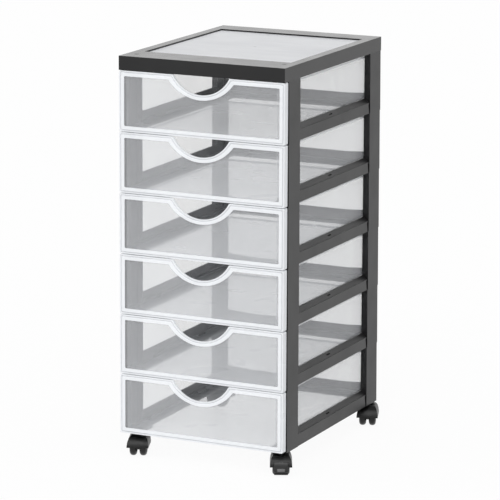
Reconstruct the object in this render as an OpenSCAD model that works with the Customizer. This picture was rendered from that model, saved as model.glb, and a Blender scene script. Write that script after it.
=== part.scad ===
// Rolling tower of six see-through drawers in stacking black frames, on four twin-wheel casters.
// Millimetres. +Z is up, the drawers open towards -Y, and z = 0 is the floor.
// The origin is on the floor under the middle of the whole outline, casters included.
// "Depth" below is always measured back from the plane of the drawer fronts.

/* [Tower] */
// Width of the frame
tower_w = 300; // [260:1:380]
// Depth of the frame, from the drawer fronts to the back
tower_d = 392; // [320:1:470]
// Height of one tier, from one joint to the next
tier_h = 102.7; // [84:0.1:140]
// Height of the skirt round the top cap
cap_h = 23.5; // [20:0.5:32]
// How far the lowest frame reaches down below its tier's own height
foot_h = 2.5; // [2:0.1:6]
// Floor to the underside of the lowest frame
caster_h = 38.5; // [38:0.1:46]

/* [Frame] */
// Wall of the frame mouldings
frame_wall = 2.5; // [2:0.1:3]
// How far the posts stand behind the drawer fronts
post_setback = 18; // [16:0.5:26]
// Size of a post front to back
post_d = 44; // [38:1:56]
// Size of a post side to side
post_w = 11.5; // [10.5:0.1:16]
// Draft of a post's outer face from its foot to its top
post_draft = 0.8; // [0:0.1:1.5]
// Height of a side rail
rail_h = 18.5; // [16:0.5:24]
// How far a rail's skirt stands inside the post's outer face
rail_inset = 0.9; // [0.4:0.1:2]
// Height of the guide lip above the ledge
lip_h = 7; // [4:0.5:9]
// Width of the level edge that is left beside the lip's slope
ledge_w = 1.6; // [1:0.1:5]
// Height of the back rail along its middle
back_rail_h = 25.5; // [18:0.5:28]
// How much higher the back rail rises to the posts
back_rail_rise = 3; // [0:0.5:6]
// Length of that rise at each end
back_rise_l = 46; // [20:1:80]
// Width of the runner that carries a drawer
runner_w = 18; // [14:1:26]
// Length of the slot in the ledge
slot_l = 13; // [10:1:24]
// Width of the slot in the ledge
slot_w = 2; // [1.5:0.1:5]
// Diameter of the pegs that join the tiers
peg_d = 6; // [5:0.5:7]
// Height of those pegs
peg_h = 7; // [5:0.5:9]

/* [Top panel] */
// Rim of the cap beside the panel
rim_side = 17; // [14:1:30]
// Rim of the cap in front of the panel
rim_front = 60; // [30:1:80]
// Rim of the cap behind the panel
rim_back = 42; // [25:1:60]
// Depth of the panel below the rim
panel_drop = 2.4; // [1.5:0.1:4]
// Thickness of the panel
panel_t = 2.2; // [1.8:0.1:3]
// Width of the seat under the panel's edge
panel_seat = 6; // [4:0.5:10]

/* [Drawers] */
// Gap between one drawer front and the next
front_gap = 1.2; // [0.8:0.1:2]
// Depth of the flange round a drawer front
front_flange = 13; // [8:0.5:14]
// Wall of a drawer
drawer_wall = 1.8; // [1.5:0.1:2.5]
// Width of the border outside the window
front_border = 9.5; // [8:0.5:14]
// Width of the raised ridge round the window
ridge_w = 5.6; // [4:0.1:6]
// Height of the ridge above the front's skin
ridge_h = 1.2; // [0.8:0.1:2]
// Width of the finger scoop at the top edge
scoop_w = 102; // [80:1:130]
// Depth of the finger scoop
scoop_h = 31; // [22:1:40]
// Vertical corner radius at the back of a drawer
drawer_corner_r = 12; // [8:1:20]
// How far a drawer pulls out before its stop
drawer_travel = 280; // [200:1:290]
// Depth of the gap between the drawer's rim and the tier above
head_gap = 6.2; // [5.5:0.1:10]

/* [Casters] */
// Wheel diameter
wheel_d = 32; // [28:0.5:34]
// Width of one wheel
wheel_w = 11.8; // [10.5:0.1:12.2]
// Width of the flat middle of a wheel's tread
tread_flat = 1.4; // [0.4:0.1:2]
// Distance between the two wheels
wheel_gap = 5; // [4.4:0.1:5.6]
// From the swivel's axis back to the axle
trail = 16; // [15.5:0.1:20]
// Swivel centre in from the frame's side, front casters
stem_side_front = 18.5; // [12:0.5:24]
// Swivel centre in from the frame's side, rear casters
stem_side_rear = 11; // [10:0.5:24]
// Swivel centre behind the drawer fronts, front casters
stem_front = 35; // [28:1:50]
// Swivel centre in from the back, rear casters
stem_back = 10; // [9:1:34]
// Diameter of the threaded stem
stem_d = 8; // [6:0.5:9]
// Diameter of the axle
axle_d = 5; // [4:0.5:6]
// Width across a caster's hood
hood_w = 36.8; // [36:0.1:42]
// Floor to the lower edge of a caster's hood
hood_low = 17.2; // [15:0.1:19]
// Width of a brake pedal at its pins
pedal_w = 23.4; // [18:0.1:24]
// Width of a brake pedal at its toe
pedal_toe_w = 22.6; // [14:0.1:24]

/* [Hidden] */

$fn = 64;
tiers = 6;
half_w = tower_w / 2;
eps = 0.5;              // overlap that joins two shapes of one moulding
run_gap = 0.3;          // a drawer's gap above its runner
side_gap = 0.6;         // a drawer's gap to a post or to the guide lip

// Frame heights, all above a tier's own joint plane
ledge_z = rail_h - frame_wall;
lip_z = rail_h + lip_h;
runner_top = 4.7;
runner_t = frame_wall;
plate_t = 3;
post_in = half_w - post_w;             // inner edge of the posts and of the guide lip
rail_out = half_w - rail_inset;
rail_d0 = post_setback + post_d;       // depth at which the side rails start
rail_d1 = tower_d - post_d;            // and end
rail_end_gap = [3, 6];                 // slot between a rail's skirt and the rear post, low and high
tab_in = 7;                            // how far a stop tab reaches in from the post
tab_z = tier_h - 4.7;

// Drawer, above its tier's joint plane
floor_z = runner_top + run_gap;
rim_top = tier_h - head_gap;
rim_h = 3.2;
box_half = post_in - side_gap - 0.6;   // outer face of a drawer's side wall
rim_half = post_in - side_gap;         // outer edge of the rim along its top
skin_d0 = ridge_h;
edge_rim_w = 2;
edge_rim_h = ridge_h * 0.6;
scoop_border = front_border - 1;
scoop_flare = 15.5;     // how much rounder the window's edge runs under the scoop than the scoop itself
skin_d1 = ridge_h + drawer_wall;
drawer_back = tower_d - frame_wall - 3.5;
hook_l = 8;
hook_h = 3;
stop_gap = 0.4;         // left between hook and stop tab when a drawer is fully out
// In a tower too shallow for the travel, the hooks stay on the straight part of the drawer's sides
hook_d0 = min(rail_d0 + drawer_travel + stop_gap, drawer_back - drawer_corner_r - hook_l);
front_lo = front_gap / 2;
front_hi = tier_h - front_gap / 2;

// Casters
stem_list = [[-1, 0, 21], [1, 0, 25], [-1, 1, -20], [1, 1, 20]];   // side, front or back, angle at rest
hood_wall = 1.7;
hood_arch_t = 2.6;      // wall of the arch over the wheels, which holds the pedal's pins
hood_r = wheel_d / 2 + 3.4;
hood_top = caster_h - 2;
hood_back = 7.5;
swivel_d = stem_d - 1;
shaft_gap = 0.06;       // radial running clearance
fit_gap = 0.03;         // radial clearance of a fixed fit
boss_d = stem_d + 3.4;
boss_low = 29.2;
web_t = wheel_gap - 1;
axle_z = wheel_d / 2;
axle_head_t = 0.9;
tread_r = (wheel_w - tread_flat) / 2;
collar_d = 15;
insert_d = stem_d + 4;
insert_l = foot_h + runner_top - 0.7;
pedal_t = 2;
pedal_in_r = wheel_d / 2 + 0.8;
pedal_pin_d = 1.6;
pedal_pin_z = 23;

function y_at(d) = d - tower_d / 2;
function tier_z(i) = caster_h + foot_h + (tiers - i) * tier_h;
function at_rear(k) = stem_list[k - 1][1] == 1;
function stem_x(k) = stem_list[k - 1][0] * (half_w - (at_rear(k) ? stem_side_rear : stem_side_front));
function stem_y(k) = y_at(at_rear(k) ? tower_d - stem_back : stem_front);

module block(x, d, z) {
  translate([x[0], y_at(d[0]), z[0]]) cube([x[1] - x[0], d[1] - d[0], z[1] - z[0]]);
}

// An outline in width and height, carried from one depth to another
module run_back(d, points) {
  translate([0, y_at(d[1]), 0]) rotate([90, 0, 0]) linear_extrude(d[1] - d[0]) polygon(points);
}

module both_sides() {
  children();
  mirror([1, 0, 0]) children();
}

// ---- Frame of one tier ----

module post(d0) {
  top_out = half_w - post_draft;
  web_in = [half_w - frame_wall, top_out - frame_wall];
  run_back([d0, d0 + post_d], [[web_in[0], 0], [half_w, 0], [top_out, tier_h], [web_in[1], tier_h]]);
  for (d = [d0, d0 + post_d - frame_wall])
    run_back([d, d + frame_wall],
      [[post_in, 0], [web_in[0] + eps, 0], [web_in[1] + eps, tier_h], [post_in, tier_h]]);
  block([post_in, web_in[0] + eps], [d0, d0 + post_d], [0, plate_t]);
  block([post_in, web_in[1] + eps], [d0, d0 + post_d], [tier_h - plate_t, tier_h]);
  for (d = peg_depths(d0))
    translate([peg_x(), y_at(d), tier_h - plate_t]) cylinder(d = peg_d, h = peg_h + plate_t);
}

function peg_x() = post_in + (post_w - frame_wall) / 2 - 0.2;
function peg_depths(d0) = [d0 + post_d * 0.25, d0 + post_d * 0.75];

module side_rail(skirt_low) {
  // skirt, a little in from the posts, with an open slot before the rear post
  translate([rail_out - frame_wall, 0, 0]) rotate([90, 0, 90]) linear_extrude(frame_wall)
    polygon([[y_at(rail_d0 - eps), skirt_low], [y_at(rail_d1 - rail_end_gap[0]), skirt_low],
      [y_at(rail_d1 - rail_end_gap[1]), rail_h], [y_at(rail_d0 - eps), rail_h]]);
  // ledge that slopes up to the lip, with its slot
  difference() {
    union() {
      block([post_in, rail_out - eps], [rail_d0 - eps, rail_d1 + eps], [ledge_z, rail_h]);
      run_back([rail_d0 - eps, rail_d1 + eps],
        [[post_in + eps, ledge_z], [rail_out - ledge_w, ledge_z], [rail_out - ledge_w, rail_h],
          [post_in + frame_wall, lip_z - 0.6], [post_in + eps, lip_z - 0.6]]);
    }
    ledge_slot();
  }
  // guide lip beside the drawer
  block([post_in, post_in + frame_wall], [rail_d0 - eps, rail_d1 + eps], [runner_top - runner_t, lip_z]);
  // runner that carries the drawer, from the front post to the back
  block([post_in - runner_w, post_in + frame_wall], [post_setback, tower_d - eps],
    [runner_top - runner_t, runner_top]);
  // ribs under the ledge
  for (k = [1:5])
    block([post_in + eps, rail_out - eps], [rib_depth(k), rib_depth(k) + 2],
      [runner_top - runner_t, ledge_z + eps]);
}

function rib_depth(k) = rail_d0 + (rail_d1 - rail_d0) * (k - 0.5) / 5 + 22;

module ledge_slot() {
  x = (post_in + frame_wall + rail_out - frame_wall) / 2;
  d = (rail_d0 + rail_d1) / 2 - 10;
  reach = (slot_l - slot_w) / 2;
  for (s = [-reach, reach])
    translate([x, y_at(d + s), ledge_z - 1]) cylinder(d = slot_w, h = lip_z - ledge_z + 2);
  block([x - slot_w / 2, x + slot_w / 2], [d - reach, d + reach], [ledge_z - 1, lip_z + 1]);
}

module back_rail() {
  end = post_in + eps;
  flat = post_in - back_rise_l;
  high = back_rail_h + back_rail_rise;
  run_back([tower_d - frame_wall, tower_d],
    [[-end, 0], [end, 0], [end, high], [flat, back_rail_h], [-flat, back_rail_h], [-end, high]]);
  block([-post_in, post_in], [tower_d - runner_w, tower_d - eps], [runner_top - runner_t, runner_top]);
}

// Inward tab at the top of each front post, which stops the drawer
module stop_tab() {
  block([post_in - tab_in, post_in + eps], [rail_d0 - frame_wall - 1, rail_d0], [tab_z, tier_h]);
}

// Thick pads of the lowest frame, which hold the casters
module caster_pad(d0) {
  block([post_in - runner_w, half_w - 0.2], [d0, d0 + post_d], [-foot_h, runner_top]);
  block([half_w - 3, half_w], [d0, d0 + post_d], [-foot_h, plate_t]);
}

module tier_frame(i) {
  color([0.21, 0.21, 0.22]) difference() {
    translate([0, 0, tier_z(i)]) {
      both_sides() {
        post(post_setback);
        post(tower_d - post_d);
        side_rail(i == tiers ? -foot_h : 0);
        stop_tab();
        if (i == tiers) {
          caster_pad(post_setback);
          caster_pad(tower_d - post_d);
        }
      }
      back_rail();
    }
    if (i == tiers)
      for (k = [1:4])
        translate([stem_x(k), stem_y(k), caster_h - 1])
          cylinder(r = insert_d / 2 + fit_gap, h = insert_l + 1);
    else
      translate([0, 0, tier_z(i)]) peg_holes(peg_h);
  }
}

// Sockets for the pegs of the tier below, cut upwards from z = 0
module peg_holes(height) {
  both_sides()
    for (d0 = [post_setback, tower_d - post_d])
      for (d = peg_depths(d0))
        translate([peg_x(), y_at(d), -1]) cylinder(r = peg_d / 2 + 0.1, h = height + 2);
}

// ---- Top cap and its panel ----

cap_z = tier_z(0);
window_x = half_w - rim_side;
window_d = [rim_front, tower_d - rim_back];
cap_top_t = frame_wall;
seat_z = cap_h - panel_drop - panel_t;
boss_h = 10;

module top_cap() {
  color([0.21, 0.21, 0.22]) translate([0, 0, cap_z]) {
    difference() {
      block([-half_w, half_w], [0, tower_d], [0, cap_h]);
      block([frame_wall - half_w, half_w - frame_wall], [frame_wall, tower_d - frame_wall],
        [-1, cap_h - cap_top_t]);
      block([-window_x, window_x], window_d, [-1, cap_h + 1]);
    }
    panel_well();
    difference() {
      both_sides()
        for (d0 = [post_setback, tower_d - post_d])
          block([post_in, half_w - eps], [d0, d0 + post_d], [0, boss_h]);
      peg_holes(peg_h);
    }
    cap_ribs();
  }
}

// Wall and seat round the panel's opening
module panel_well() {
  low = seat_z - 2;
  grow = 2;
  difference() {
    block([-window_x - grow, window_x + grow], [window_d[0] - grow, window_d[1] + grow], [low, cap_h - eps]);
    block([-window_x, window_x], window_d, [seat_z, cap_h]);
    block([panel_seat - window_x, window_x - panel_seat],
      [window_d[0] + panel_seat, window_d[1] - panel_seat], [low - 1, cap_h]);
  }
}

module cap_ribs() {
  rib_low = 8;
  for (x = [-75, 0, 75]) {
    block([x - 1, x + 1], [eps, window_d[0] - 2 + eps], [rib_low, cap_h - eps]);
    block([x - 1, x + 1], [window_d[1] + 2 - eps, tower_d - eps], [rib_low, cap_h - eps]);
  }
  both_sides()
    for (k = [1:3]) {
      d = window_d[0] + (window_d[1] - window_d[0]) * k / 4;
      block([window_x + 2 - eps, half_w - eps], [d - 1, d + 1], [rib_low, cap_h - eps]);
    }
}

module top_panel() {
  play = 0.4;
  gate_y = (y_at(window_d[0]) + y_at(window_d[1])) / 2;
  color([0.86, 0.87, 0.88]) translate([0, 0, cap_z + seat_z]) {
    block([play - window_x, window_x - play], [window_d[0] + play, window_d[1] - play], [0, panel_t]);
    translate([0, gate_y, -0.6]) cylinder(d = 7, h = 0.6 + panel_t / 2);
  }
}

// ---- Drawers ----

scoop_r = (scoop_w * scoop_w / 4 + scoop_h * scoop_h) / (2 * scoop_h);
scoop_z = front_hi - scoop_h + scoop_r;

// Outline of the window, drawn grow larger than the window itself on every side
module window_outline(grow) {
  low = front_lo + front_border - grow;
  high = front_hi - front_border + grow;
  side = half_w - front_border + grow;
  share = 1 - grow / front_border;
  r = scoop_r + scoop_flare * share;
  difference() {
    translate([-side, low]) square([2 * side, high - low]);
    translate([0, front_hi - scoop_h - scoop_border * share + r]) circle(r = r, $fn = 128);
  }
}

module scoop_cut(d) {
  translate([0, y_at(d[1]), scoop_z]) rotate([90, 0, 0]) cylinder(r = scoop_r, h = d[1] - d[0], $fn = 128);
}

// Rounded box outline, square at the front and round at the back corners
module box_outline(half, d0, d1, r) {
  translate([-half, y_at(d0)]) square([2 * half, d1 - d0 - r]);
  translate([-half + r, y_at(d0)]) square([2 * (half - r), d1 - d0]);
  for (s = [-1, 1])
    translate([s * (half - r), y_at(d1) - r]) circle(r = r);
}

module drawer_front() {
  front_ring = front_flange - skin_d0;
  difference() {
    block([-half_w, half_w], [skin_d0, skin_d0 + front_ring], [front_lo, front_hi]);
    block([drawer_wall - half_w, half_w - drawer_wall], [skin_d1, tower_d],
      [front_lo + drawer_wall, front_hi - drawer_wall]);
    scoop_cut([-1, front_flange + 1]);
  }
  // ridge round the window and under the scoop
  translate([0, y_at(skin_d0 + eps), 0]) rotate([90, 0, 0]) linear_extrude(ridge_h + eps) difference() {
    window_outline(ridge_w);
    window_outline(0);
  }
  // low rim round the edge of the front, so that a groove is left between it and the ridge
  translate([0, y_at(skin_d0 + eps), 0]) rotate([90, 0, 0]) linear_extrude(edge_rim_h + eps) difference() {
    window_outline(front_border);
    window_outline(front_border - edge_rim_w);
  }
}

module drawer_box() {
  // walls and floor
  difference() {
    translate([0, 0, floor_z]) linear_extrude(rim_top - floor_z)
      box_outline(box_half, skin_d0 + eps, drawer_back, drawer_corner_r);
    translate([0, 0, floor_z + drawer_wall]) linear_extrude(tier_h)
      box_outline(box_half - drawer_wall, skin_d1, drawer_back - drawer_wall, drawer_corner_r - drawer_wall);
    scoop_cut([-1, front_flange + 1]);
  }
  // rim along the sides and the back
  difference() {
    translate([0, 0, rim_top - rim_h]) linear_extrude(rim_h)
      box_outline(rim_half, front_flange, drawer_back + 0.6, drawer_corner_r);
    translate([0, 0, rim_top - rim_h - 1]) linear_extrude(rim_h + 2)
      box_outline(box_half - eps, skin_d1, drawer_back - eps, drawer_corner_r - eps);
  }
  // hooks that meet the frame's stop tabs
  both_sides()
    block([box_half - 4, rim_half], [hook_d0, hook_d0 + hook_l], [rim_top - rim_h, rim_top + hook_h]);
}

module drawer(i) {
  color([0.9, 0.92, 0.94, 0.5]) translate([0, 0, tier_z(i)]) {
    drawer_front();
    drawer_box();
  }
}

// ---- Casters, drawn with the swivel's axis on Z and the wheels behind it towards -Y ----

module at_caster(k) {
  translate([stem_x(k), stem_y(k), 0]) rotate([0, 0, stem_list[k - 1][2]]) children();
}

module caster_insert(k) {
  color([0.7, 0.7, 0.72]) at_caster(k) translate([0, 0, caster_h]) difference() {
    cylinder(d = insert_d, h = insert_l);
    translate([0, 0, -1]) cylinder(r = stem_d / 2 + fit_gap, h = insert_l + 2);
  }
}

// Threaded stem: collar under the frame, plain swivel pin and a clip below the hood's boss
module caster_stem(k) {
  clip_t = 0.8;
  color([0.75, 0.76, 0.78]) at_caster(k) {
    translate([0, 0, hood_top + 0.1]) cylinder(d = collar_d, h = caster_h - hood_top - 0.1);
    translate([0, 0, caster_h - eps]) cylinder(d = stem_d, h = insert_l - 0.5 + eps);
    translate([0, 0, boss_low - 0.1 - clip_t]) cylinder(d = swivel_d, h = hood_top - boss_low + 1);
    translate([0, 0, boss_low - 0.1 - clip_t]) cylinder(d = swivel_d + 1.8, h = clip_t);
  }
}

// Side outline of the hood: a flat top over the swivel, then an arch over the wheels
function hood_side(side_less, arch_less) =
  let(r = hood_r - arch_less, low = hood_low - side_less)
  let(front = hood_back - side_less, top = hood_top - side_less)
  concat(
    [[front, low], [front, top - 3], [front - 3, top], [-9, top]],
    [for (k = [0:14]) let(a = 75 + (105 - asin((low - axle_z) / r)) * k / 14)
      [r * cos(a) - trail, axle_z + r * sin(a)]]);

// Right half of the hood's front outline, with a round shoulder: how far each point stands
// in from the side and down from the top
hood_shoulder = [[0, 16.5], [0.8, 10.5], [2.4, 5.5], [5, 2], [8.9, 0]];
function hood_half(less) =
  let(half = hood_w / 2 - less, top = hood_top - less)
  concat([[half, hood_low - 2 * less]], [for (p = hood_shoulder) [half - p[0], top - p[1]]]);

module hood_solid(side_less, arch_less) {
  right = hood_half(side_less);
  intersection() {
    translate([-hood_w, 0, 0]) rotate([90, 0, 90]) linear_extrude(2 * hood_w)
      polygon(hood_side(side_less, arch_less));
    translate([0, 3 * hood_w, 0]) rotate([90, 0, 0]) linear_extrude(6 * hood_w)
      polygon(concat(right, [for (i = [len(right) - 1:-1:0]) [-right[i][0], right[i][1]]]));
  }
}

module caster_hood(k) {
  braked = (k == 2 || k == 3);
  over_wheels = axle_z + hood_r - 1.6;   // top of the web, inside the arch's wall
  color([0.11, 0.11, 0.11]) at_caster(k) difference() {
    union() {
      difference() {
        hood_solid(0, 0);
        hood_solid(hood_wall, hood_arch_t);
      }
      // web between the wheels, with the axle's boss
      translate([-web_t / 2, -trail - 3, axle_z]) cube([web_t, trail + 3, over_wheels - axle_z]);
      translate([-web_t / 2, -trail, axle_z]) rotate([0, 90, 0]) cylinder(d = 13, h = web_t);
      translate([-web_t / 2, 2 - trail, axle_z - 1])
        cube([web_t, trail + hood_back - 3, hood_top - axle_z - 0.5]);
      // boss of the swivel
      translate([0, 0, boss_low]) cylinder(d = boss_d, h = hood_top - boss_low - 0.5);
    }
    translate([0, 0, boss_low - 1]) cylinder(r = swivel_d / 2 + shaft_gap, h = 20);
    translate([0, 0, 0]) cylinder(d = swivel_d + 3, h = boss_low);
    translate([-web_t, -trail, axle_z]) rotate([0, 90, 0]) cylinder(r = axle_d / 2 + fit_gap, h = 2 * web_t);
    if (braked)
      pedal_notch();
  }
}

// Notch in the hood's far end for the brake pedal, with the holes for its pins
module pedal_notch() {
  play = 0.5;
  wide = pedal_w / 2 + play;
  translate([-wide, -trail - hood_r - 5, hood_low - 3]) cube([2 * wide, 12, pedal_pin_z + 5.5 - hood_low]);
  translate([-wide - 2, pedal_pin_y(), pedal_pin_z]) rotate([0, 90, 0])
    cylinder(r = pedal_pin_d / 2 + shaft_gap, h = 2 * (wide + 2));
}

function pedal_pin_y() = -trail - sqrt(pow(pedal_in_r + pedal_t / 2, 2) - pow(pedal_pin_z - axle_z, 2));

module caster_axle(k) {
  reach = wheel_gap / 2 + wheel_w + 0.1;
  color([0.75, 0.76, 0.78]) at_caster(k) translate([0, -trail, axle_z]) rotate([0, 90, 0]) {
    translate([0, 0, -reach - axle_head_t]) cylinder(d = axle_d, h = 2 * (reach + axle_head_t));
    for (z = [-reach - axle_head_t, reach])
      translate([0, 0, z]) cylinder(d = axle_d + 2, h = axle_head_t);
  }
}

// Half section of a wheel: rounded tread, dished faces, hub
function tread_arc(r, w, q) =
  [for (a = [90:-15:-90]) [r - q + q * cos(a), sign(sin(a)) * (w / 2 - q) + q * sin(a)]];

module wheel_section() {
  r = wheel_d / 2;
  bore = axle_d / 2 + shaft_gap;
  hub = axle_d / 2 + 2.6;
  dish = 1.6;
  lip = r - tread_r - 0.6;
  half = wheel_w / 2;
  polygon(concat(
    [[bore, half], [hub, half], [hub + 0.6, half - dish], [lip - 0.8, half - dish], [lip, half]],
    tread_arc(r, wheel_w, tread_r),
    [[lip, -half], [lip - 0.8, dish - half], [hub + 0.6, dish - half], [hub, -half], [bore, -half]]));
}

module caster_wheel(k, side) {
  color([0.08, 0.08, 0.08]) at_caster(k)
    translate([side * (wheel_gap + wheel_w) / 2, -trail, axle_z]) rotate([0, 90, 0])
      rotate_extrude($fn = 96) wheel_section();
}

// Brake pedal: a curved plate in front of the wheels that pivots on two pins in the hood's notch
module brake_pedal(k) {
  out_r = pedal_in_r + pedal_t;
  toe_z = 4.6;
  pin_reach = 2;
  color([0.13, 0.13, 0.13]) at_caster(k) {
    intersection() {
      pedal_plate(out_r, toe_z);
      // outline seen from the toe, narrower at the foot
      rotate([90, 0, 0]) linear_extrude(3 * hood_w)
        polygon([[-pedal_toe_w / 2, 0], [pedal_toe_w / 2, 0], [pedal_w / 2, pedal_pin_z - 3],
          [pedal_w / 2, hood_top], [-pedal_w / 2, hood_top], [-pedal_w / 2, pedal_pin_z - 3]]);
    }
    // pins
    translate([-pedal_w / 2 - pin_reach, pedal_pin_y(), pedal_pin_z]) rotate([0, 90, 0])
      cylinder(d = pedal_pin_d, h = pedal_w + 2 * pin_reach);
  }
}

// The pedal's curved plate at full width, with the toe that sticks out for the foot
module pedal_plate(out_r, toe_z) {
  union() {
    translate([0, -trail, axle_z]) rotate([0, 90, 0]) translate([0, 0, -pedal_w / 2]) difference() {
      cylinder(r = out_r, h = pedal_w, $fn = 96);
      translate([0, 0, -1]) cylinder(r = pedal_in_r, h = pedal_w + 2, $fn = 96);
      // keep only the front part between the pins and the toe
      translate([-out_r - 1, -out_r * 0.74, -1]) cube([2 * out_r + 2, 3 * out_r, pedal_w + 2]);
      translate([-out_r - 1, -out_r - 1, -1])
        cube([out_r + axle_z - pedal_pin_z - 0.4, 2 * out_r, pedal_w + 2]);
      translate([axle_z - toe_z, -out_r - 1, -1]) cube([2 * out_r, 3 * out_r, pedal_w + 2]);
    }
    translate([-pedal_w / 2, -trail - out_r - 2.6, toe_z]) cube([pedal_w, 7.2, pedal_t]);
  }
}

top_cap();
top_panel();
tier_frame(1);  // tier_frame_1
tier_frame(2);  // tier_frame_2
tier_frame(3);  // tier_frame_3
tier_frame(4);  // tier_frame_4
tier_frame(5);  // tier_frame_5
tier_frame(6);  // tier_frame_6
drawer(1);  // drawer_1
drawer(2);  // drawer_2
drawer(3);  // drawer_3
drawer(4);  // drawer_4
drawer(5);  // drawer_5
drawer(6);  // drawer_6
caster_insert(1);  // caster_insert_1
caster_insert(2);  // caster_insert_2
caster_insert(3);  // caster_insert_3
caster_insert(4);  // caster_insert_4
caster_stem(1);  // caster_stem_1
caster_stem(2);  // caster_stem_2
caster_stem(3);  // caster_stem_3
caster_stem(4);  // caster_stem_4
caster_hood(1);  // caster_hood_1
caster_hood(2);  // caster_hood_2
caster_hood(3);  // caster_hood_3
caster_hood(4);  // caster_hood_4
caster_axle(1);  // caster_axle_1
caster_axle(2);  // caster_axle_2
caster_axle(3);  // caster_axle_3
caster_axle(4);  // caster_axle_4
caster_wheel(1, -1);  // caster_wheel_left_1
caster_wheel(2, -1);  // caster_wheel_left_2
caster_wheel(3, -1);  // caster_wheel_left_3
caster_wheel(4, -1);  // caster_wheel_left_4
caster_wheel(1, 1);  // caster_wheel_right_1
caster_wheel(2, 1);  // caster_wheel_right_2
caster_wheel(3, 1);  // caster_wheel_right_3
caster_wheel(4, 1);  // caster_wheel_right_4
brake_pedal(2);  // brake_pedal_2
brake_pedal(3);  // brake_pedal_3
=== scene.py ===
import math
import bmesh
import bpy
import numpy as np
from mathutils import Matrix, Vector


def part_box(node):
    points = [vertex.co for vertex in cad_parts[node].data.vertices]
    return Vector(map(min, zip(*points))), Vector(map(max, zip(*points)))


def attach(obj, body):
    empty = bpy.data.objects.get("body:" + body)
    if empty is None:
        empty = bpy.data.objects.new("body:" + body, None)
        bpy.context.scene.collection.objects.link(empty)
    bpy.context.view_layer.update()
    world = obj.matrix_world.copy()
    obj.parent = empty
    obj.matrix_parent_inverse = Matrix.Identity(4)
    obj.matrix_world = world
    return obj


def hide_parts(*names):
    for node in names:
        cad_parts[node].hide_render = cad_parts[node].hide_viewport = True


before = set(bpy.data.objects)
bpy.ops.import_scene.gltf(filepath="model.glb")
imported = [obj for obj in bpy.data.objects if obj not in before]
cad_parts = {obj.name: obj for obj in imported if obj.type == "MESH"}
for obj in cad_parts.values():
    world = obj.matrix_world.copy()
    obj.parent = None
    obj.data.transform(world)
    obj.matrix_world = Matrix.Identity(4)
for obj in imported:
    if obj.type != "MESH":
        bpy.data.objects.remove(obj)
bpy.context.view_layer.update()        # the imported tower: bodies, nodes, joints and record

mm = 0.001
hair = 0.1        # millimetres within which a point counts as being on a line
tierCount = 6
casterCount = 4

# Places that the whole tower shares, all read from the frame
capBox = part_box("top_cap")
halfWidth = capBox[1].x / mm
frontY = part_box("drawer_1")[0].y / mm        # plane of the drawer fronts
tierHeight = (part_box("drawer_1")[0].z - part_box("drawer_2")[0].z) / mm
print("frame read:", len(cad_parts), "nodes, tiers", round(tierHeight, 2), "mm apart")


# Height of the joint plane under a tier, in millimetres, counted down from the cap.
def tierBase(tier):
    return capBox[0].z / mm - tier * tierHeight


# Quads between neighbouring points of a grid; a closed direction joins its last line to its first.
def gridQuads(rows, columns, closeRows=False, closeColumns=False):
    r, c = np.meshgrid(np.arange(rows - (not closeRows)), np.arange(columns - (not closeColumns)), indexing="ij")
    below, beside = (r + 1) % rows, (c + 1) % columns
    corners = [r * columns + c, below * columns + c, below * columns + beside, r * columns + beside]
    return np.stack(corners, -1).reshape(-1, 4).tolist()


# Arc of count points about a centre, from one angle to another in degrees.
def arc(centre, radius, start, end, count):
    turn = np.radians(np.linspace(start, end, count))
    return np.stack([centre[0] + radius * np.cos(turn), centre[1] + radius * np.sin(turn)], -1)


# Polyline whose corners become arcs of count points: each arc starts r·tan(half the turn) before its corner and ends
# as far after it. A corner with no radius stays as it is, and so do the ends of an open line.
def softened(points, radius, count, closed=False):
    points = np.asarray(points, float)
    radius = np.broadcast_to(radius, len(points))
    before, after = np.roll(points, 1, 0), np.roll(points, -1, 0)
    runs = []
    for k, (corner, last, following, r) in enumerate(zip(points, before, after, radius)):
        if r <= 0 or (not closed and k in (0, len(points) - 1)):
            runs.append(corner[None])
            continue
        coming = (corner - last) / np.linalg.norm(corner - last)
        going = (following - corner) / np.linalg.norm(following - corner)
        turn = math.atan2(coming[0] * going[1] - coming[1] * going[0], coming @ going)
        side = np.array([-coming[1], coming[0]]) * math.copysign(1, turn)
        start = corner - coming * r * math.tan(abs(turn) / 2)
        t = np.linspace(0, turn, count)[:, None]
        spoke = -side * r
        swung = np.concatenate([spoke[0] * np.cos(t) - spoke[1] * np.sin(t),
                                spoke[0] * np.sin(t) + spoke[1] * np.cos(t)], 1)
        runs.append(start + side * r + swung)
    return np.concatenate(runs)


# A mesh object from points in millimetres, its faces, and values stored per point; a place, if given, is a matrix in
# metres that turns and moves the points themselves, so the object stays at the origin.
def meshObject(name, points, faces, stored=None, place=None):
    points = np.asarray(points, float).reshape(-1, 3) * mm
    if place is not None:
        matrix = np.array(place)
        points = points @ matrix[:3, :3].T + matrix[:3, 3]
    mesh = bpy.data.meshes.new(name)
    mesh.from_pydata(points.tolist(), [], faces)
    for label, values in (stored or {}).items():
        mesh.attributes.new(label, "FLOAT", "POINT").data.foreach_set("value", np.asarray(values, np.float32))
    obj = bpy.data.objects.new(name, mesh)
    bpy.context.scene.collection.objects.link(obj)
    return obj


# The mesh that a piece's modifiers give becomes its own mesh.
def settle(obj):
    made = bpy.data.meshes.new_from_object(obj.evaluated_get(bpy.context.evaluated_depsgraph_get()))
    made.name = obj.name
    obj.modifiers.clear()
    obj.data = made
    return obj


# Smooth shading that leaves edges sharper than the angle sharp, and keeps flat faces flat by weighting the normals.
def shaded(obj, sharpAngle, faceWeight=80):
    obj.data.shade_smooth()
    obj.data.set_sharp_from_angle(angle=math.radians(sharpAngle))
    weighted = obj.modifiers.new("flatFaces", "WEIGHTED_NORMAL")
    weighted.keep_sharp = True
    weighted.weight = faceWeight
    return settle(obj)


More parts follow.
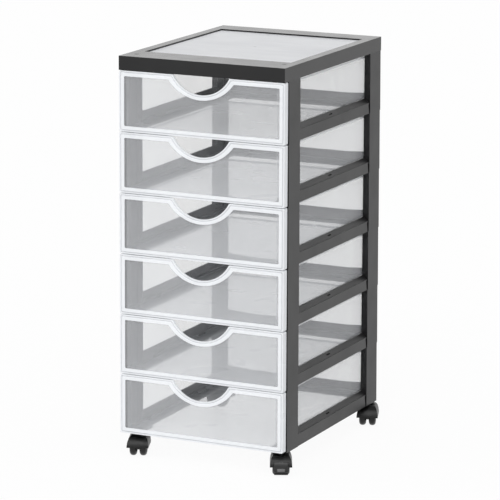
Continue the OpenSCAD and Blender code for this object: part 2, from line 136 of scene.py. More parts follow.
# Several objects become one, the first; stored values are kept.
def joined(objects):
    first = objects[0]
    with bpy.context.temp_override(active_object=first, selected_editable_objects=objects, selected_objects=objects):
        bpy.ops.object.join()
    return first


# Faces turned outwards on a closed mesh, after its doubles are merged within a distance in metres.
def outward(obj, merge=1e-6):
    bm = bmesh.new()
    bm.from_mesh(obj.data)
    bmesh.ops.remove_doubles(bm, verts=bm.verts, dist=merge)
    bmesh.ops.recalc_face_normals(bm, faces=bm.faces)
    bm.to_mesh(obj.data)
    bm.free()
    return obj


# Gives a piece its finish and the body it rides on, and hides the CAD nodes it stands for. The slot name is not used.
def finished(obj, finish, body, slotName, *nodes):
    obj.data.materials.clear()
    obj.data.materials.append(finish)
    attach(obj, body)
    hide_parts(*nodes)
    return obj


# A new material with its nodes, its shader and the piece's own Object coordinates, in metres.
def nodeTree(name):
    material = bpy.data.materials.new(name)
    material.use_nodes = True
    tree = material.node_tree
    shader = tree.nodes["Principled BSDF"]
    coords = tree.nodes.new("ShaderNodeTexCoord").outputs["Object"]
    return material, tree, shader, coords


# Cloudy noise whose scale counts clouds in a metre; a stretch multiplies it along each axis.
def noise(tree, coords, scale, detail=3.0, roughness=0.55, stretch=None):
    if stretch:
        mapping = tree.nodes.new("ShaderNodeMapping")
        mapping.inputs["Scale"].default_value = stretch
        tree.links.new(coords, mapping.inputs["Vector"])
        coords = mapping.outputs["Vector"]
    node = tree.nodes.new("ShaderNodeTexNoise")
    node.inputs["Scale"].default_value = scale
    node.inputs["Detail"].default_value = detail
    node.inputs["Roughness"].default_value = roughness
    tree.links.new(coords, node.inputs["Vector"])
    return node.outputs["Fac"]


# Straight line from one range to another, held at both ends; noise mostly lies between 0.3 and 0.7.
def remap(tree, value, low, high, fromLow=0.3, fromHigh=0.7):
    node = tree.nodes.new("ShaderNodeMapRange")
    for key, number in zip(("From Min", "From Max", "To Min", "To Max"), (fromLow, fromHigh, low, high)):
        node.inputs[key].default_value = number
    tree.links.new(value, node.inputs["Value"])
    return node.outputs["Result"]


# Mix of two colours, either of which may be another node's colour.
def mixColour(tree, share, first, second):
    node = tree.nodes.new("ShaderNodeMix")
    node.data_type = "RGBA"
    for socket, colour in ((node.inputs[6], first), (node.inputs[7], second)):
        if isinstance(colour, bpy.types.NodeSocket):
            tree.links.new(colour, socket)
        else:
            socket.default_value = (*colour, 1.0)
    tree.links.new(share, node.inputs["Factor"])
    return node.outputs[2]


# Sum, product or the like of two values, either of which may be another node's.
def combine(tree, operation, first, second):
    node = tree.nodes.new("ShaderNodeMath")
    node.operation = operation
    for socket, value in zip(node.inputs, (first, second)):
        if isinstance(value, bpy.types.NodeSocket):
            tree.links.new(value, socket)
        else:
            socket.default_value = value
    return node.outputs[0]


# A faint relief on the surface, whose depth is in metres.
def bump(tree, shader, height, depth, strength):
    node = tree.nodes.new("ShaderNodeBump")
    node.inputs["Distance"].default_value = depth
    node.inputs["Strength"].default_value = strength
    tree.links.new(height, node.inputs["Height"])
    tree.links.new(node.outputs["Normal"], shader.inputs["Normal"])


# A value that the mesh stores for each of its points.
def storedValue(tree, label):
    node = tree.nodes.new("ShaderNodeAttribute")
    node.attribute_name = label
    return node.outputs["Fac"]


# Share that is 1 within a radius of a point and 0 outside it, with a soft edge; radius and edge are in millimetres.
def spotShare(tree, coords, centre, radius, edge):
    apart = tree.nodes.new("ShaderNodeVectorMath")
    apart.operation = "DISTANCE"
    tree.links.new(coords, apart.inputs[0])
    apart.inputs[1].default_value = centre
    return remap(tree, apart.outputs["Value"], 1, 0, (radius - edge) * mm, (radius + edge) * mm)


blackPlastic = {"dark": (0.0085, 0.0085, 0.0090), "light": (0.0135, 0.0135, 0.0140), "roughness": (0.17, 0.22),
                "clouds": 9.0, "patches": 24.0, "grain": 1700.0, "grainDepth": 0.00002, "bump": 0.5, "ior": 1.40}
frameBlack = {**blackPlastic, "roughness": (0.30, 0.37)}
capBlack = {**blackPlastic, "roughness": (0.21, 0.26)}
hoodBlack = {**blackPlastic, "dark": (0.003, 0.003, 0.003), "light": (0.007, 0.007, 0.007),
             "roughness": (0.32, 0.44), "clouds": 60.0, "patches": 160.0, "ior": 1.36}
wheelBlack = {**blackPlastic, "dark": (0.006, 0.006, 0.0065), "light": (0.012, 0.012, 0.012),
              "roughness": (0.26, 0.42), "patches": 160.0, "grain": 900.0}
naturalNylon = {**blackPlastic, "dark": (0.50, 0.50, 0.47), "light": (0.60, 0.60, 0.57),
                "roughness": (0.42, 0.58), "grain": 700.0}
# Round marks of the mould's pins on the cap's rim, placed across and back from the drawer fronts in millimetres
pinMark = {"places": ((-131, 28), (130, 40)), "radius": 4.5, "edge": 0.35, "dullness": 0.16, "depth": 3.0}


# Injection-moulded plastic: broad faint clouding, fine grain in the surface, and a gloss that varies a little. Marks
# of the mould's pins, if their centres are given, lie a little deeper and are a little duller.
def mouldedPlastic(name, look, markCentres=()):
    material, tree, shader, coords = nodeTree(name)
    clouds = remap(tree, noise(tree, coords, look["clouds"]), 0, 1)
    tree.links.new(mixColour(tree, clouds, look["dark"], look["light"]), shader.inputs["Base Color"])
    gloss = remap(tree, noise(tree, coords, look["patches"], 2.0, 0.5), *look["roughness"])
    height = noise(tree, coords, look["grain"], 2.0)
    for centre in markCentres:
        mark = spotShare(tree, coords, centre, pinMark["radius"], pinMark["edge"])
        gloss = combine(tree, "ADD", gloss, combine(tree, "MULTIPLY", mark, pinMark["dullness"]))
        height = combine(tree, "SUBTRACT", height, combine(tree, "MULTIPLY", mark, pinMark["depth"]))
    tree.links.new(gloss, shader.inputs["Roughness"])
    bump(tree, shader, height, look["grainDepth"], look["bump"])
    shader.inputs["IOR"].default_value = look["ior"]
    return material


frostedPlastic = {"clear": (0.86, 0.875, 0.90), "milky": (0.945, 0.965, 0.995), "milkRange": (0.2, 0.7),
                  "roughness": (0.26, 0.32), "patches": 16.0, "clouds": 7.0, "drift": 0.012, "grain": 1400.0,
                  "grainDepth": 0.000008, "bump": 0.3, "ior": 1.47}


# See-through plastic: the stored value milk says how much of the light each surface keeps, from thin and clear to
# thick and white.
def frostedFinish(name, look):
    material, tree, shader, coords = nodeTree(name)
    milk = storedValue(tree, "milk")
    drift = remap(tree, noise(tree, coords, look["clouds"], 1.0), -look["drift"], look["drift"])
    tree.links.new(combine(tree, "ADD", milk, drift), shader.inputs["Alpha"])
    whiteness = remap(tree, milk, 0, 1, *look["milkRange"])
    tree.links.new(mixColour(tree, whiteness, look["clear"], look["milky"]), shader.inputs["Base Color"])
    gloss = remap(tree, noise(tree, coords, look["patches"], 1.0), *look["roughness"])
    tree.links.new(gloss, shader.inputs["Roughness"])
    bump(tree, shader, noise(tree, coords, look["grain"], 1.0), look["grainDepth"], look["bump"])
    shader.inputs["IOR"].default_value = look["ior"]
    material.surface_render_method = "BLENDED"
    return material


platedSteel = {"dark": (0.46, 0.46, 0.47), "light": (0.66, 0.66, 0.66), "roughness": (0.24, 0.42), "rings": 900.0,
               "stretch": (0.25, 0.25, 3.0), "patches": 300.0, "grainDepth": 0.00002, "bump": 0.4}


# Zinc-plated steel: a metal whose tone and gloss vary in fine turned rings.
def metalFinish(name, look):
    material, tree, shader, coords = nodeTree(name)
    rings = noise(tree, coords, look["rings"], 4.0, 0.6, look["stretch"])
    tone = mixColour(tree, remap(tree, rings, 0, 1), look["dark"], look["light"])
    tree.links.new(tone, shader.inputs["Base Color"])
    tree.links.new(remap(tree, noise(tree, coords, look["patches"]), *look["roughness"]), shader.inputs["Roughness"])
    bump(tree, shader, rings, look["grainDepth"], look["bump"])
    shader.inputs["Metallic"].default_value = 1.0
    return material


frameFinish = mouldedPlastic("frameBlack", frameBlack)
capFinish = mouldedPlastic("capBlack", capBlack,
                           [(x * mm, (frontY + back) * mm, capBox[1].z) for x, back in pinMark["places"]])
hoodFinish = mouldedPlastic("hoodBlack", hoodBlack)
wheelFinish = mouldedPlastic("wheelBlack", wheelBlack)
nylonFinish = mouldedPlastic("nylonNatural", naturalNylon)
steelFinish = metalFinish("platedSteel", platedSteel)
drawerFinish = frostedFinish("frostedDrawer", frostedPlastic)
print("finishes made")


# A drawer, in millimetres and degrees; the numbers of points are at the end of each dictionary
frontShape = {"gap": 0.6, "flange": 13.0, "wall": 1.8, "border": 9.5, "rimWidth": 2.0, "rimDepth": 0.48,
              "skinDepth": 1.2, "ridgeWidth": 5.6, "draft": 0.2, "ridgeRound": 0.5, "grooveRound": 0.15,
              "edgeRound": 0.3, "bendRound": 0.4, "cornerRound": 2.0, "topReach": 60.0, "sharpAngle": 35,
              "sectionPoints": 4, "cornerPoints": 6, "topPoints": 8}
scoopShape = {"radius": 57.5, "depth": 31.0, "border": 8.5, "flare": 15.5, "shoulder": 3.0, "shoulderGap": 1.5,
              "lipDepth": 3.6, "lipHalfWidth": 56.0, "lipFade": 10.0, "shoulderPoints": 7, "dipPoints": 49}
boxShape = {"postWidth": 11.5, "play": 1.2, "back": 386.0, "cornerRound": 12.0, "floor": 5.0, "fillet": 4.5,
            "floorEdge": 5.0, "midHeight": 30.0, "rimTop": 96.5, "rimHeight": 3.2, "rimOut": 0.6, "rimSlope": 0.4,
            "rimRound": 0.2, "wall": 1.8, "seam": 0.05, "sidePoints": 12, "cornerPoints": 10, "filletPoints": 7,
            "rimPoints": 3}
hookShape = {"start": 342.4, "length": 8.0, "reachIn": 4.0, "rise": 3.0, "cornerRound": 0.8, "edgeRound": 0.5}
milkLevel = {"window": 0.21, "ridge": 0.89, "groove": 0.66, "rim": 0.87, "flange": 0.80, "wall": 0.19,
             "floor": 0.36, "wallRim": 0.60, "fillet": 0.28}
boxHalf = halfWidth - boxShape["postWidth"] - boxShape["play"]


# Outline of a drawer front, inset from its edge: a rectangle with rounded corners, whose top edge dips round a circle
# that grows with the inset; a small arc joins the top edge and the circle at each shoulder.
def frontOutline(inset):
    f, s = frontShape, scoopShape
    share = inset / f["border"]
    side, low, high = halfWidth - inset, f["gap"] + inset, tierHeight - f["gap"] - inset
    radius = s["radius"] + s["flare"] * share
    bottom = tierHeight - f["gap"] - s["depth"] - s["border"] * share
    centreZ = bottom + radius
    corner, cornerPoints = f["cornerRound"], f["cornerPoints"]
    shoulderZ = high - s["shoulder"]
    shoulderX = math.sqrt((radius + s["shoulder"]) ** 2 - (centreZ - shoulderZ) ** 2)
    lean = math.degrees(math.atan2(centreZ - shoulderZ, -shoulderX))
    dip = math.degrees(math.atan2(shoulderZ - centreZ, shoulderX))
    topRun = np.stack([np.linspace(side - f["topReach"], shoulderX + s["shoulderGap"], f["topPoints"]),
                       np.full(f["topPoints"], high)], -1)
    return np.concatenate([
        arc((-side + corner, low + corner), corner, 180, 270, cornerPoints),
        arc((side - corner, low + corner), corner, -90, 0, cornerPoints),
        arc((side - corner, high - corner), corner, 0, 90, cornerPoints),
        topRun,
        arc((shoulderX, shoulderZ), s["shoulder"], 90, lean, s["shoulderPoints"]),
        arc((0, centreZ), radius, dip, -180 - dip, s["dipPoints"])[1:-1],
        arc((-shoulderX, shoulderZ), s["shoulder"], 180 - lean, 90, s["shoulderPoints"]),
        topRun[::-1] * (-1, 1),
        arc((-side + corner, high - corner), corner, 90, 180, cornerPoints)])


# Front of a drawer: the outline carried along a section that runs from the window over ridge, groove and rim, back
# along the flange, and in again behind the skin; one flat face closes the window in front and one behind.
def drawerFront(name, base):
    f = frontShape
    skin, back, ridge = f["skinDepth"], f["skinDepth"] + f["wall"], f["border"] - f["ridgeWidth"]
    crest, foot, edge, bend = f["ridgeRound"], f["grooveRound"], f["edgeRound"], f["bendRound"]
    section = softened([(f["border"], skin), (f["border"] - f["draft"], 0), (ridge, 0), (ridge - f["draft"], skin),
                        (f["rimWidth"] + f["draft"], skin), (f["rimWidth"], f["rimDepth"]), (0, f["rimDepth"]),
                        (0, f["flange"]), (f["wall"], f["flange"]), (f["wall"], back), (f["border"], back)],
                       [0, crest, crest, foot, foot, edge, bend, edge, edge, bend, 0], f["sectionPoints"])
    inset, depth = section[:, 0], section[:, 1]
    milk = np.select([inset > f["border"] - hair, depth > back - hair, inset > ridge - hair, inset > f["rimWidth"]],
                     [milkLevel["window"], milkLevel["flange"], milkLevel["ridge"], milkLevel["groove"]],
                     milkLevel["rim"])
    outlines = np.stack([frontOutline(step) for step in inset])        # section point, outline point, (x, z)
    # the flange dies out towards the scoop, where only a short lip is left
    whole = np.clip((np.abs(outlines[..., 0]) - scoopShape["lipHalfWidth"]) / scoopShape["lipFade"], 0, 1)
    whole = np.where(outlines[..., 1] < tierHeight / 2, 1, whole)
    alongFlange = np.clip((depth - back) / (f["flange"] - back), 0, 1)[:, None]
    deep = depth[:, None] + (scoopShape["lipDepth"] - f["flange"]) * alongFlange * (1 - whole)
    points = np.stack([outlines[..., 0], frontY + deep, base + outlines[..., 1]], -1)
    rows, columns = points.shape[:2]
    faces = gridQuads(rows, columns, closeColumns=True)
    faces += [list(range(columns)), list(range((rows - 1) * columns, rows * columns))[::-1]]
    return meshObject(name, points, faces, {"milk": np.repeat(milk, columns)})


# Box of a drawer: a path down one side, round the back and up the other side, with a section that starts on the flat
# floor and rises through a fillet to the turned-out rim; the floor is one face, and the sheet then gets its wall.
def drawerBox(name, base):
    b = boxShape
    bend, straightEnd, rimFoot = b["cornerRound"], b["back"] - b["cornerRound"], b["rimTop"] - b["rimHeight"]
    sideRun = np.linspace(frontShape["skinDepth"] + frontShape["wall"] + b["seam"], straightEnd, b["sidePoints"])[:-1]
    left = np.stack([np.full(len(sideRun), -boxHalf), sideRun], -1)
    plan = np.concatenate([left, arc((bend - boxHalf, straightEnd), bend, 180, 90, b["cornerPoints"]),
                           arc((boxHalf - bend, straightEnd), bend, 90, 0, b["cornerPoints"]), left[::-1] * (-1, 1)])
    away = np.concatenate([np.tile([-1.0, 0.0], (len(left), 1)), arc((0, 0), 1, 180, 90, b["cornerPoints"]),
                           arc((0, 0), 1, 90, 0, b["cornerPoints"]), np.tile([1.0, 0.0], (len(left), 1))])
    section = np.concatenate([[(-b["fillet"] - b["floorEdge"], b["floor"])],
                              arc((-b["fillet"], b["floor"] + b["fillet"]), b["fillet"], -90, 0, b["filletPoints"]),
                              softened([(0, b["midHeight"]), (0, rimFoot), (b["rimOut"], rimFoot + b["rimSlope"]),
                                        (b["rimOut"], b["rimTop"])], b["rimRound"], b["rimPoints"])])
    out, height = section[:, 0], section[:, 1]
    milk = np.select([height < b["floor"] + hair, height < b["floor"] + b["fillet"] + hair,
                      height < rimFoot - hair / 2],
                     [milkLevel["floor"], milkLevel["fillet"], milkLevel["wall"]], milkLevel["wallRim"])
    flat = plan[None] + out[:, None, None] * away[None]
    rows, columns = flat.shape[:2]
    levels = np.broadcast_to((base + height)[:, None], (rows, columns))
    points = np.stack([flat[..., 0], frontY + flat[..., 1], levels], -1)
    faces = gridQuads(rows, columns) + [list(range(columns))]
    obj = outward(meshObject(name, points, faces, {"milk": np.repeat(milk, columns)}))
    wall = obj.modifiers.new("wall", "SOLIDIFY")
    wall.thickness = b["wall"] * mm
    wall.offset = -1
    wall.use_even_offset = True
    return settle(obj)


# A block with rounded upright edges and a softened top and bottom: a rounded rectangle carried up a section that
# comes in at both ends in two short steps; the stored values are the same all over it.
def softBlock(name, low, high, corner, edge, stored=None, cornerPoints=5, leastCorner=0.05):
    low, high = np.array(low, float), np.array(high, float)
    tall, knee = high[2] - low[2], edge * 0.3
    rings = []
    for inset, rise in ((edge, 0), (knee, knee), (0, edge), (0, tall - edge), (knee, tall - knee), (edge, tall)):
        a, b = low[:2] + inset, high[:2] - inset
        ring = softened([(a[0], a[1]), (b[0], a[1]), (b[0], b[1]), (a[0], b[1])], max(corner - inset, leastCorner),
                        cornerPoints, closed=True)
        rings.append(np.column_stack([ring, np.full(len(ring), low[2] + rise)]))
    rows, columns = len(rings), len(rings[0])
    faces = [face[::-1] for face in gridQuads(rows, columns, closeColumns=True)]
    faces += [list(range(columns))[::-1], list(range((rows - 1) * columns, rows * columns))]
    return meshObject(name, np.stack(rings), faces,
                      {label: np.full(rows * columns, value) for label, value in (stored or {}).items()})


# The two hooks of a drawer, which meet the frame's tabs: a soft block across each side wall's rim.
def drawerHooks(tier, base):
    b, h = boxShape, hookShape
    start = frontY + h["start"]
    lowZ, highZ = base + b["rimTop"] - b["rimHeight"], base + b["rimTop"] + h["rise"]
    hooks = []
    for side in (-1, 1):
        inner, outer = sorted([side * (boxHalf - h["reachIn"]), side * (boxHalf + b["rimOut"])])
        hooks.append(softBlock(f"hook{tier}{side}", (inner, start, lowZ), (outer, start + h["length"], highZ),
                               h["cornerRound"], h["edgeRound"], {"milk": milkLevel["wallRim"]}))
    return hooks


for tier in range(1, tierCount + 1):
    base = tierBase(tier)
    front = outward(drawerFront(f"drawerFront{tier}", base))
    drawer = joined([front, drawerBox(f"drawerBox{tier}", base)] + drawerHooks(tier, base))
    drawer.name = drawer.data.name = f"drawer{tier}Moulding"
    finished(shaded(drawer, frontShape["sharpAngle"]), drawerFinish, f"drawer_{tier}_body", "frosted_drawer",
             f"drawer_{tier}")
print("drawers made:", tierCount)


frameEdge = {"width": 0.45, "segments": 2, "sharpAngle": 30}
capEdge = {"width": 0.8, "segments": 3, "sharpAngle": 30}
hoodEdge = {"width": 0.7, "segments": 3, "sharpAngle": 29}
cadMesh = {"merge": 2e-6, "flatAngle": 0.8}        # metres and degrees


# A copy of a node's mesh, merged and its flat triangles joined, with every edge rounded by a small bevel.
def softCopy(node, name, edge):
    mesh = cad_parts[node].data.copy()
    obj = bpy.data.objects.new(name, mesh)
    bpy.context.scene.collection.objects.link(obj)
    bm = bmesh.new()
    bm.from_mesh(mesh)
    bmesh.ops.remove_doubles(bm, verts=bm.verts, dist=cadMesh["merge"])
    bmesh.ops.dissolve_limit(bm, angle_limit=math.radians(cadMesh["flatAngle"]), verts=bm.verts, edges=bm.edges)
    bm.to_mesh(mesh)
    bm.free()
    bevel = obj.modifiers.new("edge", "BEVEL")
    bevel.width = edge["width"] * mm
    bevel.segments = edge["segments"]
    bevel.limit_method = "ANGLE"
    bevel.angle_limit = math.radians(edge["sharpAngle"])
    bevel.use_clamp_overlap = True
    bevel.miter_outer = "MITER_ARC"
    return shaded(settle(obj), edge["sharpAngle"])


for tier in range(1, tierCount + 1):
    node = f"tier_frame_{tier}"
    finished(softCopy(node, f"tierFrame{tier}Moulding", frameEdge), frameFinish, "frame", "black_frame", node)
finished(softCopy("top_cap", "topCapMoulding", capEdge), capFinish, "frame", "black_frame", "top_cap")
print("frames and cap made")


panelShape = {"cornerRound": 3.0, "edgeRound": 0.5, "lift": 0.6, "gateRadius": 2.6, "gateBlur": 0.4, "sharpAngle": 35}
# dark and light are the two ends of the painted sheen that the streaks put into the panel's colour
panelPlastic = {"dark": (0.555, 0.565, 0.59), "light": (0.70, 0.71, 0.73), "gate": (0.40, 0.41, 0.43),
                "roughness": (0.36, 0.44), "sheenStreaks": 6.5, "stretch": (1.0, 2.4, 1.0), "grain": 1300.0,
                "grainDepth": 0.00002, "bump": 0.5, "ior": 1.49}


# Pale frosted panel: faint streaks stretched along Y that lighten and darken its colour as a painted sheen and also
# vary its gloss, a fine frost, and a darker gate mark in its middle.
def panelFinish(name, look, gate):
    material, tree, shader, coords = nodeTree(name)
    sheenStreaks = noise(tree, coords, look["sheenStreaks"], 5.0, 0.6, look["stretch"])
    # painted sheen: the streaks make the colour lighter and darker in soft bands
    colour = mixColour(tree, remap(tree, sheenStreaks, 0, 1), look["dark"], look["light"])
    spot = spotShare(tree, coords, gate, panelShape["gateRadius"], panelShape["gateRadius"] * panelShape["gateBlur"])
    tree.links.new(mixColour(tree, spot, colour, look["gate"]), shader.inputs["Base Color"])
    tree.links.new(remap(tree, sheenStreaks, *look["roughness"]), shader.inputs["Roughness"])
    bump(tree, shader, noise(tree, coords, look["grain"], 2.0), look["grainDepth"], look["bump"])
    shader.inputs["IOR"].default_value = look["ior"]
    return material


panelLow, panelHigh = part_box("top_panel")
panelMiddle = (panelLow + panelHigh) / 2
panel = softBlock("topPanelPlate", np.array(panelLow) / mm + (0, 0, panelShape["lift"]), np.array(panelHigh) / mm,
                  panelShape["cornerRound"], panelShape["edgeRound"])
frostedPanel = panelFinish("frostedPanel", panelPlastic, (panelMiddle.x, panelMiddle.y, panelHigh.z))
finished(shaded(panel, panelShape["sharpAngle"]), frostedPanel, "frame", "frosted_panel", "top_panel")
print("panel made")


# Matrix that takes a caster's own frame, swivel on Z and wheels behind it towards -Y, to its place in the tower.
def casterPlace(k):
    left, right = (sum(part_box(f"caster_wheel_{side}_{k}"), Vector()) / 2 for side in ("left", "right"))
    across = (right - left).normalized()
    stem = sum(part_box(f"caster_stem_{k}"), Vector()) / 2
    turn = Matrix.Rotation(math.atan2(across.y, across.x), 4, "Z")
    return Matrix.Translation((stem.x, stem.y, 0)) @ turn


# Wheels and pedals, in millimetres and degrees, in a caster's own frame with the floor at 0
wheelShape = {"radius": 16.0, "width": 11.8, "gap": 5.0, "trail": 16.0, "treadRound": 5.2, "bore": 2.56, "hub": 5.1,
              "hubSlope": 0.5, "dish": 1.6, "dishRings": (7.0, 8.2), "lip": 10.2, "lipSlope": 0.7, "boreRound": 0.2,
              "edgeRound": 0.3, "ribs": 5, "ribRise": 1.1, "ribStart": 0.72, "ribFade": 0.2, "dishShare": 0.6,
              "sharpAngle": 38, "roundPoints": 7, "turnPoints": 80}


# A wheel: a closed section of bore, hub, dished face, lip and rounded tread, turned about the axle; inside the dish
# the face is lifted by ribRise where cos(ribs · angle) is near 1, which leaves that many spokes.
def wheelMesh(name, side, place):
    w = wheelShape
    half = w["width"] / 2
    dish, edge = half - w["dish"], w["edgeRound"]
    face = [(half, w["bore"]), (half, w["hub"]), (dish, w["hub"] + w["hubSlope"]), (dish, w["dishRings"][0]),
            (dish, w["dishRings"][1]), (dish, w["lip"] - w["lipSlope"]), (half, w["lip"]), (half, w["radius"])]
    rounds = [w["boreRound"], edge, edge, 0, 0, edge, edge, w["treadRound"]]
    section = softened(face + [(-across, high) for across, high in face[::-1]], rounds + rounds[::-1],
                       w["roundPoints"], closed=True)
    angle = np.linspace(0, 2 * math.pi, w["turnPoints"], endpoint=False)
    across, radius = section[:, :1], section[:, 1:]
    dished = (np.abs(across) < half - w["dish"] * w["dishShare"]) & (radius < w["lip"])
    spoke = np.clip((np.cos(w["ribs"] * angle) - w["ribStart"]) / w["ribFade"], 0, 1)[None]
    across = across + np.where(dished, np.sign(across) * spoke * w["ribRise"], 0)
    axleX = side * (w["gap"] + w["width"]) / 2
    points = np.stack([axleX + across, radius * np.cos(angle) - w["trail"], radius * np.sin(angle) + w["radius"]], -1)
    return meshObject(name, points, gridQuads(*points.shape[:2], closeRows=True, closeColumns=True), place=place)


pedalShape = {"radius": 17.8, "top": 24.6, "arcEnd": 202, "bendStart": (-33.2, 9.4), "elbow": (-32.6, 7.6),
              "tip": (-37.0, 5.7), "elbowRound": 1.2, "thickness": 2.0, "fullHeight": 20, "fullWidth": 23.4,
              "toeWidth": 22.6, "outside": (-1, 0.2), "sharpAngle": 38, "arcPoints": 64, "elbowPoints": 5,
              "toePoints": 18, "toeSkip": 4, "acrossPoints": 25}
padShape = {"width": 13.0, "low": 9.0, "high": 14.8, "rise": 0.45, "ribs": 4, "grooveShare": 0.55, "sideFade": 0.5,
            "endFade": 0.25}
pinShape = {"height": 23.0, "radius": 0.8, "reach": 2.0, "inside": 1.0, "chamfer": 0.2, "turnPoints": 20}
pedalPlastic = {"dark": (0.010, 0.010, 0.010), "light": (0.017, 0.017, 0.017), "pad": (0.150, 0.150, 0.153),
                "roughness": (0.30, 0.42), "clouds": 60.0, "patches": 180.0, "grain": 1500.0, "grainDepth": 0.00003,
                "bump": 0.5, "ior": 1.46}


# Finish of a brake pedal: black, with the raised pad paler where the stored value pad is 1.
def pedalFinish(name, look):
    material, tree, shader, coords = nodeTree(name)
    paleShare = storedValue(tree, "pad")
    black = mixColour(tree, remap(tree, noise(tree, coords, look["clouds"]), 0, 1), look["dark"], look["light"])
    tree.links.new(mixColour(tree, paleShare, black, look["pad"]), shader.inputs["Base Color"])
    tree.links.new(remap(tree, noise(tree, coords, look["patches"]), *look["roughness"]), shader.inputs["Roughness"])
    bump(tree, shader, noise(tree, coords, look["grain"], 2.0), look["grainDepth"], look["bump"])
    shader.inputs["IOR"].default_value = look["ior"]
    return material


# Pin of a pedal: a circle carried out from the plate on one side, with a chamfer at its end.
def pedalPin(name, side, place):
    p, n = pinShape, pinShape["turnPoints"]
    edge, rise = pedalShape["fullWidth"] / 2, p["height"] - wheelShape["radius"]
    back = -wheelShape["trail"] - math.sqrt(pedalShape["radius"] ** 2 - rise ** 2)
    x = side * np.array([edge - p["inside"], edge + p["reach"] - p["chamfer"], edge + p["reach"]])
    radius = np.array([p["radius"], p["radius"], p["radius"] - p["chamfer"]])[:, None]
    turn = np.linspace(0, 2 * math.pi, n, endpoint=False)
    points = np.stack([np.repeat(x[:, None], n, 1), back + radius * np.cos(turn),
                       p["height"] + radius * np.sin(turn)], -1)
    faces = gridQuads(len(x), n, closeColumns=True) + [list(range(n)), list(range(2 * n, 3 * n))[::-1]]
    return outward(meshObject(name, points, faces, {"pad": np.zeros(len(x) * n)}, place))


# A brake pedal: a path round the wheels and out to the toe, thickened to a closed section whose ends are round, and
# carried across a width that narrows towards the toe; a ribbed pad rises from the outer side, between two heights.
def pedalMesh(name, place):
    p, pad, wheel = pedalShape, padShape, wheelShape
    start = math.degrees(math.pi - math.asin((p["top"] - wheel["radius"]) / p["radius"]))
    path = np.concatenate([arc((-wheel["trail"], wheel["radius"]), p["radius"], start, p["arcEnd"], p["arcPoints"]),
                           softened([p["bendStart"], p["elbow"], p["tip"]], p["elbowRound"], p["elbowPoints"])[1:-1],
                           np.linspace(p["elbow"], p["tip"], p["toePoints"])[p["toeSkip"]:]])
    run = np.gradient(path, axis=0)
    run /= np.linalg.norm(run, axis=1)[:, None]
    away = np.stack([run[:, 1], -run[:, 0]], -1)
    away *= np.sign(away @ p["outside"])[:, None]
    height = path[:, 1:]
    taper = np.clip((height - p["tip"][1]) / (p["fullHeight"] - p["tip"][1]), 0, 1)
    across = np.sin(np.linspace(-math.pi / 2, math.pi / 2, p["acrossPoints"]))[None]
    half = p["thickness"] / 2 * (0.5 + 0.5 * (1 - across ** 8).clip(0, 1) ** 0.25)        # thinner at its two sides
    x = (p["toeWidth"] + (p["fullWidth"] - p["toeWidth"]) * taper) / 2 * across
    onPad = (np.clip((pad["width"] / 2 - np.abs(x)) / pad["sideFade"], 0, 1)
             * np.clip((height - pad["low"]) / pad["endFade"], 0, 1)
             * np.clip((pad["high"] - height) / pad["endFade"], 0, 1))
    ribTurns = (height - pad["low"]) / (pad["high"] - pad["low"]) * pad["ribs"]
    groove = np.clip(0.5 + 2 * np.cos(2 * math.pi * ribTurns), 0, 1)        # flat in its middle, with steep sides
    raised = onPad * (1 - pad["grooveShare"] * groove) * pad["rise"]
    outer = path[:, None] + away[:, None] * (half + raised)[..., None]
    inner = path[:, None] - away[:, None] * half[..., None]
    points = np.concatenate([np.concatenate([x, x[::-1]])[..., None], np.concatenate([outer, inner[::-1]])], -1)
    rows, columns = points.shape[:2]
    faces = gridQuads(rows, columns, closeRows=True)
    faces += [[r * columns for r in range(rows)][::-1], [r * columns + columns - 1 for r in range(rows)]]
    paleShare = np.concatenate([onPad, np.zeros_like(onPad)]).ravel()
    plate = outward(meshObject(name, points, faces, {"pad": paleShare}, place))
    return joined([plate] + [pedalPin(f"{name}Pin{side}", side, place) for side in (-1, 1)])


for k in range(1, casterCount + 1):
    place = casterPlace(k)
    finished(softCopy(f"caster_hood_{k}", f"caster{k}Hood", hoodEdge), hoodFinish, f"caster_{k}", "caster_hood",
             f"caster_hood_{k}")
    for side, word in ((-1, "left"), (1, "right")):
        wheel = shaded(outward(wheelMesh(f"caster{k}{word.title()}Wheel", side, place)), wheelShape["sharpAngle"])
        finished(wheel, wheelFinish, f"caster_{k}_{word}_wheel", "caster_wheel", f"caster_wheel_{word}_{k}")
    for part, finish in (("insert", nylonFinish), ("stem", steelFinish), ("axle", steelFinish)):
        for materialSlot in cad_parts[f"caster_{part}_{k}"].material_slots:
            materialSlot.material = finish
pedalBlack = pedalFinish("pedalBlack", pedalPlastic)
for k in (2, 3):        # front right and rear left
    pedal = shaded(pedalMesh(f"caster{k}Pedal", casterPlace(k)), pedalShape["sharpAngle"])
    finished(pedal, pedalBlack, f"pedal_{k}", "caster_hood", f"brake_pedal_{k}")
print("casters made:", casterCount)


stageLook = {"floorWidth": 40.0, "floorPaint": (0.93, 0.93, 0.93, 1), "whiteShare": 0.94, "domeLevel": 0.56}
lamps = {"keyLight": {"level": 1.25, "azimuth": 18, "elevation": 45, "width": 45},
         "fillLight": {"level": 0.3, "azimuth": -50, "elevation": 35, "width": 60},
         "rimLight": {"level": 0.06, "azimuth": 205, "elevation": 14, "width": 34}}        # gloss on the level faces
cameraPlace = {"target": (0.0060, -0.0195, 0.3358), "distance": 5.330, "azimuth": 25.35, "elevation": 12.26,
               "roll": 0.26, "lens": 227.2, "sensor": 36.0, "farthest": 200.0}


# 1 for rays from the camera and for rays that glossy or clear surfaces send on, 0 for the light on things.
def seenDirectly(tree):
    rays = tree.nodes.new("ShaderNodeLightPath").outputs
    return combine(tree, "MAXIMUM", combine(tree, "MAXIMUM", rays["Is Camera Ray"], rays["Is Glossy Ray"]),
                   rays["Is Transmission Ray"])


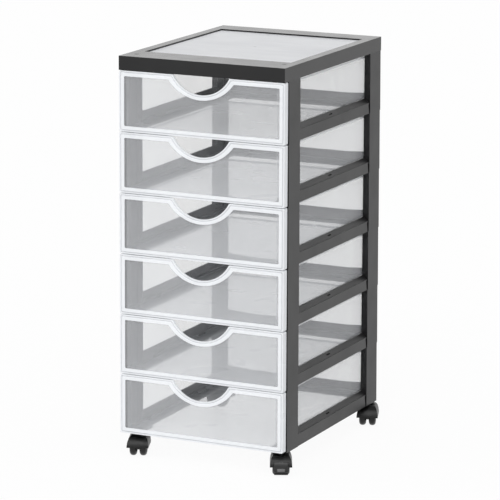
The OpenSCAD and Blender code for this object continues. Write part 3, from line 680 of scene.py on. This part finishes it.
# A floor that looks white, and catches and gives back light as a pale matt paint does.
def floorFinish():
    material = bpy.data.materials.new("studioFloor")
    material.use_nodes = True
    tree = material.node_tree
    tree.nodes.clear()
    paint = tree.nodes.new("ShaderNodeBsdfDiffuse")
    paint.inputs["Color"].default_value = stageLook["floorPaint"]
    white = tree.nodes.new("ShaderNodeEmission")
    mix = tree.nodes.new("ShaderNodeMixShader")
    out = tree.nodes.new("ShaderNodeOutputMaterial")
    tree.links.new(combine(tree, "MULTIPLY", seenDirectly(tree), stageLook["whiteShare"]), mix.inputs[0])
    tree.links.new(paint.outputs[0], mix.inputs[1])
    tree.links.new(white.outputs[0], mix.inputs[2])
    tree.links.new(mix.outputs[0], out.inputs["Surface"])
    return material


reach = stageLook["floorWidth"] / 2 / mm
corners = [(-reach, -reach, 0), (reach, -reach, 0), (reach, reach, 0), (-reach, reach, 0)]
floor = meshObject("studioFloorPlane", corners, [[0, 1, 2, 3]])
floor.data.materials.append(floorFinish())

world = bpy.data.worlds.new("studioWorld")
bpy.context.scene.world = world
world.use_nodes = True
background = world.node_tree.nodes["Background"]
background.inputs["Color"].default_value = (1, 1, 1, 1)
dome = remap(world.node_tree, seenDirectly(world.node_tree), stageLook["domeLevel"], 1.0, 0, 1)
world.node_tree.links.new(dome, background.inputs["Strength"])


# Direction out from the tower at an azimuth and an elevation in degrees; azimuth 0 is straight ahead of its front.
def outFrom(azimuth, elevation):
    a, e = math.radians(azimuth), math.radians(elevation)
    return Vector((math.sin(a) * math.cos(e), -math.cos(a) * math.cos(e), math.sin(e)))


for name, look in lamps.items():
    lamp = bpy.data.lights.new(name, "SUN")
    lamp.energy = look["level"]
    lamp.angle = math.radians(look["width"])
    obj = bpy.data.objects.new(name, lamp)
    bpy.context.scene.collection.objects.link(obj)
    obj.rotation_euler = outFrom(look["azimuth"], look["elevation"]).to_track_quat("Z", "Y").to_euler()


# A camera that looks at its target from a distance and is rolled about its view.
def makeCamera(place):
    back = outFrom(place["azimuth"], place["elevation"])
    right = Vector((0, 0, 1)).cross(back).normalized()
    right = Matrix.Rotation(math.radians(place["roll"]), 3, back) @ right
    up = back.cross(right)
    data = bpy.data.cameras.new("photoCamera")
    data.lens = place["lens"]
    data.sensor_width = place["sensor"]
    data.clip_end = place["farthest"]
    camera = bpy.data.objects.new("photoCamera", data)
    turn = Matrix((right, up, back)).transposed().to_4x4()
    camera.matrix_world = Matrix.Translation(Vector(place["target"]) + back * place["distance"]) @ turn
    bpy.context.scene.collection.objects.link(camera)
    bpy.context.scene.camera = camera


makeCamera(cameraPlace)
bpy.context.scene.view_settings.view_transform = "Standard"
bpy.context.scene.cycles.transparent_max_bounces = 64        # a ray meets many clear walls
print("stage made")
